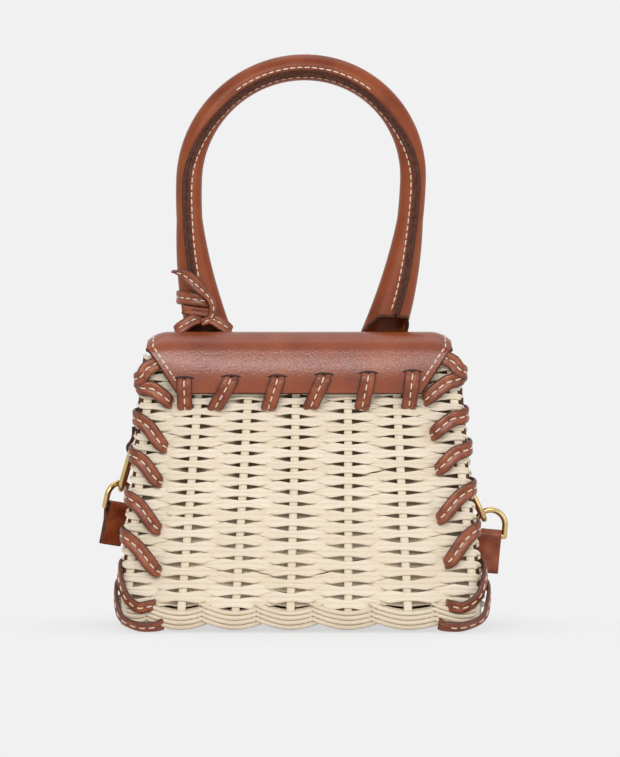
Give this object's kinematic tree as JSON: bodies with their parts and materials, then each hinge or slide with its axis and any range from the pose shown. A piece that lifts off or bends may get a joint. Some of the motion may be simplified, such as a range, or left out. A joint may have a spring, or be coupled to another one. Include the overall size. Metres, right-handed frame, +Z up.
{
  "type": "handbag",
  "caption": "Small woven reed handbag with a laced leather flap, folded side gussets, rolled leather handle and gold side rings, for carrying in the hand.",
  "frame": {"origin": "centre of the overall box at the level of the ground under the woven panels", "axes": "+Z up, -Y towards the back of the bag that carries the laced flap, +X to the right seen from the back"},
  "size_m": [0.1747, 0.0732, 0.2443],
  "materials": {
    "reed": "pale bare reed, satin",
    "leather": "brown box leather, semi-gloss, dark painted edges",
    "gold": "pale gold, polished",
    "lining": "matt dark brown cloth",
    "magnet": "plain metal"
  },
  "bodies": {
    "bag": {"back_panel": "reed", "front_panel": "reed", "base_panel": "reed", "left_gusset": "leather", "right_gusset": "leather", "lining": "lining", "flap_back": "leather", "flap_lacing": "leather", "back_left_lacing": "leather", "back_right_lacing": "leather", "front_left_lacing": "leather", "front_right_lacing": "leather", "magnet_lower": "magnet", "left_chape": "leather", "right_chape": "leather"},
    "lid": {"flap": "leather", "handle": "leather", "handle_tie": "leather", "magnet_upper": "magnet"},
    "left_dee": {"left_ring": "gold"},
    "right_dee": {"right_ring": "gold"},
    "left_loop": {"left_link": "gold"},
    "right_loop": {"right_link": "gold"},
    "left_tag": {"left_tab": "leather"},
    "right_tag": {"right_tab": "leather"}
  },
  "joints": [
    {"name": "flap_hinge", "type": "hinge", "parent": "bag", "child": "lid", "pos_m": [0, -0.0218, 0.12188], "axis": [1, 0, 0], "range_deg": [0, 110]},
    {"name": "left_ring_swing", "type": "hinge", "parent": "bag", "child": "left_dee", "pos_m": [-0.07199, 0, 0.076], "axis": [0, 1, 0], "range_deg": [0, 70]},
    {"name": "right_ring_swing", "type": "hinge", "parent": "bag", "child": "right_dee", "pos_m": [0.07027, 0, 0.062], "axis": [0, -1, 0], "range_deg": [0, 70]},
    {"name": "left_link_swing", "type": "hinge", "parent": "left_dee", "child": "left_loop", "pos_m": [-0.07712, 0, 0.05823], "axis": [0, 1, 0], "range_deg": [0, 45]},
    {"name": "right_link_swing", "type": "hinge", "parent": "right_dee", "child": "right_loop", "pos_m": [0.07838, 0, 0.04537], "axis": [0, -1, 0], "range_deg": [0, 45]},
    {"name": "left_tab_swing", "type": "hinge", "parent": "left_loop", "child": "left_tag", "pos_m": [-0.0788, 0, 0.05035], "axis": [0.7708, 0.6157, -0.164], "range_deg": [0, 110]},
    {"name": "right_tab_swing", "type": "hinge", "parent": "right_loop", "child": "right_tag", "pos_m": [0.08065, 0, 0.03861], "axis": [0.9962, 0, -0.087], "range_deg": [-60, 60]}
  ]
}
